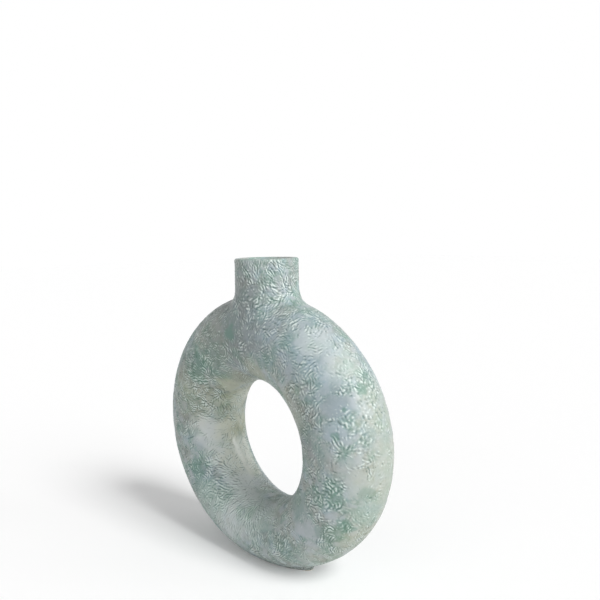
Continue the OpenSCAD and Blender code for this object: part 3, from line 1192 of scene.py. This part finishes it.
flare_levels = np.linspace(0, 1, round(flare_length / spacing))
flare_rows, flare_masks = sheet_rows(flare, flare_normal, flare_levels)
bore_levels = np.linspace(crown_z - wall + bore_lap, collar_z, bore_steps + 1)
hollow_rows = np.stack(
    [saddle_underside(part) for part in np.linspace(0, 1, under_steps + 1)]
    + [ring_row(bore_r, z) for z in bore_levels])
saddle_kinds = [0] * (len(flare_rows) - 1) + [1] * (len(hollow_rows) + 1)
saddle = row_solid(
    "shoulder", np.concatenate([flare_rows, hollow_rows]), saddle_kinds,
    mask_rows(flare_masks, 0, len(hollow_rows)), True)

# %% The collar
lip_steps = 16
lip_crossing = 3
lip_mask_rows = 5
inner_neck_steps = 11

collar_levels = np.linspace(collar_z, rim_z - lip_r, round(neck_height / spacing))
collar_rows, collar_masks = sheet_rows(collar, collar_normal, collar_levels)
rim_depth = np.linalg.norm(collar_rows[-1, :, :2], axis=-1) - neck_r
across = (neck_r - bore_r) / 2 - lip_r
lip_rows = []
for bend in np.linspace(0, np.pi, lip_steps + 1)[1:]:
    centre = (neck_r + bore_r) / 2 + across * np.clip(np.cos(bend) * lip_crossing, -1, 1)
    radius = centre + lip_r * np.cos(bend) + rim_depth * (1 - bend / np.pi)
    lip_rows.append(ring_row(radius, rim_z - lip_r + lip_r * np.sin(bend)))
inner_levels = np.linspace(rim_z - lip_r, collar_z, inner_neck_steps + 1)[1:]
inner_neck_rows = np.stack([ring_row(bore_r, z) for z in inner_levels])
neck_rows = np.concatenate([collar_rows, lip_rows, inner_neck_rows])
neck_kinds = [0] * (len(collar_rows) + lip_steps - 1) + [1] * (len(inner_neck_rows) + 1)
lip_masks = {}
for mask, values in collar_masks.items():
    fading = [values[-angle_steps:] * max(0, 1 - row / lip_mask_rows) for row in range(1, lip_steps + 1)]
    lip_masks[mask] = np.concatenate([values, *fading])
neck = row_solid(
    "collar", neck_rows, neck_kinds, mask_rows(lip_masks, 0, len(inner_neck_rows)), True)

# %% [markdown]
# ## The foot
# A glazed pot must not touch the kiln shelf with its glaze, or it sticks. So the flat oval
# that it stands on is wiped bare, and the glaze stops just above its edge. The foot is a
# stack of rows: the bare flat, the flank that rolls up to the ring, and the dished floor
# inside. The bare rows are kind 1 here.

# %% The foot
glaze_line = 3
flat_steps, flat_middle, flat_edge = 25, 0.04, 0.985
dish_steps, dish_inward = 9, 0.7

flank_levels = np.concatenate([[0, 0.01, 0.03], np.linspace(0.06, 1, round(flank_height / spacing))])
flank_rows, flank_masks = sheet_rows(flank, flank_normal, flank_levels)
flat_rows = np.stack([
    flank_rows[0] * (part, part, 0) for part in np.linspace(flat_middle, flat_edge, flat_steps + 1)])
inner_edge = low_outline(angles, wall)
dish_rows = []
for part in np.linspace(0, 1, dish_steps + 1):
    spot = inner_edge * (1 - dish_inward * part)
    height = np.maximum(floor_t, surface_z(spot[:, 0], spot[:, 1], -1, wall))
    dish_rows.append(np.concatenate([spot, height[:, None]], -1))
foot_rows = np.concatenate([flat_rows, flank_rows, dish_rows])
bare_bands = len(flat_rows) + glaze_line
glazed_bands = len(foot_rows) - 1 - bare_bands - len(dish_rows)
foot_kinds = [1] * bare_bands + [0] * glazed_bands + [2] * len(dish_rows)
foot = row_solid(
    "glazed_foot", foot_rows, foot_kinds, mask_rows(flank_masks, len(flat_rows), len(dish_rows)), False)

# %% [markdown]
# ## Grain that every surface shares
# Glaze, hollow and bare clay all come from one kiln, and all have a fine grain and a few dark
# specks of iron. An effect that several materials use is worth a node group: it is built once
# and placed in each with its own values.


# %% A node group for grain and specks
def link_chain(tree, *pairs):
    for output, target in pairs:
        tree.links.new(output, target)


def new_node(tree, kind, **settings):
    node = tree.nodes.new(kind)
    for name, value in settings.items():
        setattr(node, name, value)
    return node


speck_edge, speck_core = 0.17, 0.08


def kiln_grain():
    """Fine grain, and specks in as many of the cells of a Voronoi pattern as Speck Amount says."""
    group = bpy.data.node_groups.new("kiln_grain", "ShaderNodeTree")
    for name, default in (("Scale", 900.0), ("Speck Scale", 260.0), ("Speck Amount", 0.5)):
        socket = group.interface.new_socket(name, in_out="INPUT", socket_type="NodeSocketFloat")
        socket.default_value = default
    for name in ("Grain", "Speck"):
        group.interface.new_socket(name, in_out="OUTPUT", socket_type="NodeSocketFloat")
    enter = new_node(group, "NodeGroupInput")
    leave = new_node(group, "NodeGroupOutput")
    place = new_node(group, "ShaderNodeTexCoord")
    grain = new_node(group, "ShaderNodeTexNoise")
    grain.inputs["Detail"].default_value = 3.0
    grain.inputs["Roughness"].default_value = 0.6
    specks = new_node(group, "ShaderNodeTexVoronoi", feature="F1")
    reach = new_node(group, "ShaderNodeMapRange", clamp=True)
    reach.inputs["From Min"].default_value = speck_edge
    reach.inputs["From Max"].default_value = speck_core
    choice = new_node(group, "ShaderNodeSeparateColor")
    rare = new_node(group, "ShaderNodeMath", operation="LESS_THAN")
    speck = new_node(group, "ShaderNodeMath", operation="MULTIPLY")
    link_chain(
        group,
        (place.outputs["Object"], grain.inputs["Vector"]),
        (place.outputs["Object"], specks.inputs["Vector"]),
        (enter.outputs["Scale"], grain.inputs["Scale"]),
        (enter.outputs["Speck Scale"], specks.inputs["Scale"]),
        (specks.outputs["Distance"], reach.inputs["Value"]),
        (specks.outputs["Color"], choice.inputs["Color"]),
        (choice.outputs["Red"], rare.inputs[0]),
        (enter.outputs["Speck Amount"], rare.inputs[1]),
        (reach.outputs["Result"], speck.inputs[0]),
        (rare.outputs["Value"], speck.inputs[1]),
        (grain.outputs["Fac"], leave.inputs["Grain"]),
        (speck.outputs["Value"], leave.inputs["Speck"]))
    return group


grain_group = kiln_grain()
print("group outputs:", [item.name for item in grain_group.interface.items_tree])

# %% [markdown]
# ## The glaze
# Colour follows relief. The lips of the strokes wear thin and pale, the glaze between them
# drifts between a grey sage, a taupe and a sky grey, and the grooves hold a darker teal. Plain
# places are lilac. The zones then pull the whole towards blue-grey painted skylight and shade,
# olive painted warm bounce light, dull grey painted shade, the green of the pools and cream
# painted light, in this order, so that a green pool stays green under painted shade. Each step
# is one mix, with a mask from the mesh or a noise as its factor, and all stand in one list, so
# any of them can be tuned without touching the rest.


# %% Helpers for mixing colours by a mask
def colour(red, green, blue):
    """Colour as it is read in a picture, turned into the linear light that shaders use."""
    parts = np.array([red, green, blue]) / 255
    linear = np.where(parts <= 0.04045, parts / 12.92, ((parts + 0.055) / 1.055) ** 2.4)
    return (*linear, 1.0)


def mask_node(tree, name):
    return new_node(tree, "ShaderNodeAttribute", attribute_name=name).outputs["Fac"]


def scaled(tree, value, factor, offset=0.0):
    node = new_node(tree, "ShaderNodeMath", operation="MULTIPLY_ADD", use_clamp=True)
    tree.links.new(value, node.inputs[0])
    node.inputs[1].default_value = factor
    node.inputs[2].default_value = offset
    return node.outputs["Value"]


def mixed(tree, factor, base, other):
    """A colour mix. base and other may be sockets or plain colours."""
    node = new_node(tree, "ShaderNodeMix", data_type="RGBA")
    tree.links.new(factor, node.inputs["Factor"])
    for socket, value in ((node.inputs[6], base), (node.inputs[7], other)):
        if isinstance(value, tuple):
            socket.default_value = value
        else:
            tree.links.new(value, socket)
    return node.outputs[2]


def noise(tree, scale, detail, low, high):
    """Noise in object space, stretched between two levels."""
    place = new_node(tree, "ShaderNodeTexCoord")
    texture = new_node(tree, "ShaderNodeTexNoise")
    texture.inputs["Scale"].default_value = scale
    texture.inputs["Detail"].default_value = detail
    reach = new_node(tree, "ShaderNodeMapRange", clamp=True)
    reach.inputs["From Min"].default_value = low
    reach.inputs["From Max"].default_value = high
    link_chain(
        tree,
        (place.outputs["Object"], texture.inputs["Vector"]),
        (texture.outputs["Fac"], reach.inputs["Value"]))
    return reach.outputs["Result"]


def new_material(name):
    material = bpy.data.materials.new(name)
    material.use_nodes = True
    tree = material.node_tree
    return material, tree, tree.nodes["Principled BSDF"]


def grain_in(tree, scale, speck_scale, speck_amount):
    node = new_node(tree, "ShaderNodeGroup", node_tree=grain_group)
    node.inputs["Scale"].default_value = scale
    node.inputs["Speck Scale"].default_value = speck_scale
    node.inputs["Speck Amount"].default_value = speck_amount
    return node


def bump(tree, shader, height, distance, strength):
    node = new_node(tree, "ShaderNodeBump")
    node.inputs["Distance"].default_value = distance
    node.inputs["Strength"].default_value = strength
    link_chain(tree, (height, node.inputs["Height"]), (node.outputs["Normal"], shader.inputs["Normal"]))


print("a middle grey of 128 is", round(float(colour(128, 128, 128)[0]), 3), "in linear light")

# %% The feathered glaze
sage = colour(124, 149, 140)
taupe = colour(148, 154, 149)
sky_grey = colour(158, 174, 184)
pearl = colour(182, 190, 190)
teal = colour(74, 102, 99)
lilac = colour(168, 175, 179)
# A blue-grey that paints cool skylight and, where it darkens the lilac, shade.
skylight_and_shade_blue = colour(146, 164, 176)
# An olive tint that paints warm bounce light.
warm_bounce_olive = colour(188, 189, 154)
# A dull grey that paints shade.
painted_shade_grey = colour(104, 110, 109)
deep_green = colour(76, 121, 106)
# A cream that paints light, and also the highlight inside the hole.
painted_light_cream = colour(230, 234, 227)
pool_green = colour(84, 128, 110)
pale_mint = colour(210, 221, 217)
spring_mint = colour(186, 214, 200)
iron = colour(110, 112, 96)


def feathered_glaze():
    material, tree, shader = new_material("feathered_glaze")
    mask = {name: mask_node(tree, name) for name in MASKS}
    base = mixed(tree, noise(tree, 62.0, 3.0, 0.4, 0.6), sage, taupe)
    layers = (
        (noise(tree, 97.0, 3.0, 0.5, 0.64), 0.6, sky_grey),
        (noise(tree, 400.0, 2.0, 0.52, 0.64), 0.4, pearl),
        (noise(tree, 280.0, 3.0, 0.42, 0.32), 0.4, teal),
        (mask["plain"], 1.0, lilac),
        # painted cool skylight and shade
        (mask["cool"], 0.5, skylight_and_shade_blue),
        # painted warm bounce light
        (mask["warm"], 0.6, warm_bounce_olive),
        # painted shade
        (mask["painted_shade"], 0.6, painted_shade_grey),
        (mask["green"], 0.68, deep_green),
        # painted light, with the painted highlight in it
        (mask["pale"], 0.85, painted_light_cream))
    for where, amount, tint in layers:
        base = mixed(tree, scaled(tree, where, amount), base, tint)
    dark = mixed(tree, scaled(tree, mask["green"], 0.9), teal, pool_green)
    base = mixed(tree, scaled(tree, mask["groove"], 0.65), base, dark)
    light = mixed(tree, scaled(tree, mask["green"], 0.35), pale_mint, spring_mint)
    light = mixed(tree, noise(tree, 190.0, 2.0, 0.4, 0.58), base, light)
    base = mixed(tree, scaled(tree, mask["ridge"], 0.85), base, light)
    grain = grain_in(tree, 700.0, 420.0, 0.05)
    base = mixed(tree, scaled(tree, grain.outputs["Speck"], 0.35), base, iron)
    tree.links.new(base, shader.inputs["Base Color"])
    tree.links.new(scaled(tree, mask["plain"], -0.06, 0.46), shader.inputs["Roughness"])
    shader.inputs["IOR"].default_value = 1.5
    shader.inputs["Specular IOR Level"].default_value = 0.45
    shader.inputs["Coat Weight"].default_value = 0.12
    shader.inputs["Coat Roughness"].default_value = 0.22
    bump(tree, shader, grain.outputs["Grain"], 0.0001, 0.25)
    return material


glaze = feathered_glaze()
print("glaze nodes:", len(glaze.node_tree.nodes))


# %% The smooth glaze of the hollow and the bare clay
def plain_finish(name, patches, pair, grains, specks, roughness, relief):
    """Soft patches of two colours under the shared grain, with specks of a third colour."""
    material, tree, shader = new_material(name)
    base = mixed(tree, noise(tree, *patches), *pair)
    grain = grain_in(tree, *grains)
    speck_share, speck_colour = specks
    base = mixed(tree, scaled(tree, grain.outputs["Speck"], speck_share), base, speck_colour)
    tree.links.new(base, shader.inputs["Base Color"])
    shader.inputs["Roughness"].default_value = roughness
    bump(tree, shader, grain.outputs["Grain"], *relief)
    return material


hollow = plain_finish(
    "hollow_glaze", patches=(45.0, 4.0, 0.3, 0.7), pair=(colour(196, 200, 196), colour(178, 188, 182)),
    grains=(500.0, 300.0, 0.12), specks=(0.5, colour(112, 104, 88)), roughness=0.3, relief=(0.0002, 0.3))
clay = plain_finish(
    "bare_clay", patches=(90.0, 5.0, 0.3, 0.7), pair=(colour(206, 194, 174), colour(188, 172, 150)),
    grains=(1400.0, 500.0, 0.3), specks=(0.6, colour(120, 98, 76)), roughness=0.85, relief=(0.0004, 0.6))
print("plain finishes:", hollow.name, clay.name)

# %% Finishes onto the pieces
finishes = {front_half: (glaze, hollow), back_half: (glaze, hollow), saddle: (glaze, hollow),
            neck: (glaze, hollow), foot: (glaze, clay, hollow)}
for piece, materials in finishes.items():
    for material in materials:
        piece.data.materials.append(material)
print("finishes:", {piece.name: len(materials) for piece, materials in finishes.items()})

# %% [markdown]
# ## Tying the pieces to the frame
# Each dressed piece rides on the vase's one body and stands for one measured piece, which is
# hidden but keeps its place for everyone who measures or collides.

# %% Riding on the frame
stands_for = {
    front_half: ("ring_front_half", "glaze"), back_half: ("ring_back_half", "glaze"),
    saddle: ("shoulder_saddle", "glaze"), neck: ("neck_collar", "glaze"), foot: ("foot", "bare_clay")}
for piece, (node, slot) in stands_for.items():
    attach(piece, "root")
    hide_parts(node)
print("dressed:", sorted(node for node, slot in stands_for.values()))

# %% [markdown]
# ## Floor, light and background
# The photograph is a cut-out look: pure white everywhere, apart from one soft shadow that
# falls to the left. Four lamps far away make it: a high key and a lower, weaker one from the
# right, whose shadows overlap, a faint window behind and a fill in front, both so broad that
# their shadows have no edge. An even white sky fills the rest. The floor returns nearly all
# the light that falls on it, and shows the camera a little glow of its own besides, so that
# the open floor is white and the shadow stays pale. None of that glow falls on the vase.

# %% The floor
floor_half = 6.0
corner_signs = ((-1, -1), (1, -1), (1, 1), (-1, 1))
floor_mesh = bpy.data.meshes.new("floor")
floor_mesh.from_pydata([(x * floor_half, y * floor_half, 0.0) for x, y in corner_signs], [], [(0, 1, 2, 3)])
floor = bpy.data.objects.new("floor", floor_mesh)
bpy.context.scene.collection.objects.link(floor)
floor_glow = 0.13
floor_seen = 1.0 - floor_glow
floor_bounce = 0.95


def grey(level):
    return (level, level, level, 1.0)


def paper():
    material, tree, shader = new_material("paper")
    seen = new_node(tree, "ShaderNodeLightPath").outputs["Is Camera Ray"]
    link_chain(
        tree,
        (mixed(tree, seen, grey(floor_bounce), grey(floor_seen)), shader.inputs["Base Color"]),
        (mixed(tree, seen, grey(0.0), grey(floor_glow)), shader.inputs["Emission Color"]))
    shader.inputs["Emission Strength"].default_value = 1.0
    shader.inputs["Roughness"].default_value = 1.0
    shader.inputs["Specular IOR Level"].default_value = 0.0
    return material


floor_mesh.materials.append(paper())
print("the floor returns", floor_bounce, "to the vase, and", floor_seen, "with its glow to the camera")

# %% The sky
sky_level = 0.39

world = bpy.data.worlds.new("white_room")
world.use_nodes = True
bpy.context.scene.world = world
tree = world.node_tree
background = tree.nodes["Background"]
background.inputs["Color"].default_value = grey(1.0)
path = new_node(tree, "ShaderNodeLightPath")
seen = new_node(tree, "ShaderNodeMath", operation="MAXIMUM")
seen_too = new_node(tree, "ShaderNodeMath", operation="MAXIMUM")
level = new_node(tree, "ShaderNodeMapRange")
level.inputs["To Min"].default_value = sky_level
level.inputs["To Max"].default_value = 1.0
link_chain(
    tree,
    (path.outputs["Is Camera Ray"], seen.inputs[0]),
    (path.outputs["Is Glossy Ray"], seen.inputs[1]),
    (seen.outputs["Value"], seen_too.inputs[0]),
    (path.outputs["Is Transmission Ray"], seen_too.inputs[1]),
    (seen_too.outputs["Value"], level.inputs["Value"]),
    (level.outputs["Result"], background.inputs["Strength"]))
print("sky level for the vase", sky_level)

# %% The lamps: name, strength, elevation, azimuth and width in degrees
lamps = [
    ("key", 1.9, 44, 2, 20),
    ("low key", 0.8, 27, 0, 24),
    ("window behind", 0.45, 18, 30, 30),
    ("front", 0.35, 12, -70, 60),
]


def sun(name, strength, elevation, azimuth, width):
    """A lamp far away. Azimuth 0 is the vase's right, and width is how broad it looks."""
    elevation, azimuth = np.radians(elevation), np.radians(azimuth)
    flat = np.cos(elevation)
    direction = Vector((flat * np.cos(azimuth), flat * np.sin(azimuth), np.sin(elevation)))
    light = bpy.data.lights.new(name, "SUN")
    light.energy = strength
    light.angle = np.radians(width)
    lamp = bpy.data.objects.new(name, light)
    lamp.rotation_mode = "QUATERNION"
    lamp.rotation_quaternion = (-direction).to_track_quat("-Z", "Y")
    bpy.context.scene.collection.objects.link(lamp)


floor_light = sky_level
for name, strength, elevation, azimuth, width in lamps:
    sun(name, strength, elevation, azimuth, width)
    floor_light += strength / np.pi * np.sin(np.radians(elevation))
bpy.context.scene.view_settings.view_transform = "Standard"
print("light on the open floor, where 1 is white:", round(floor_light, 3))
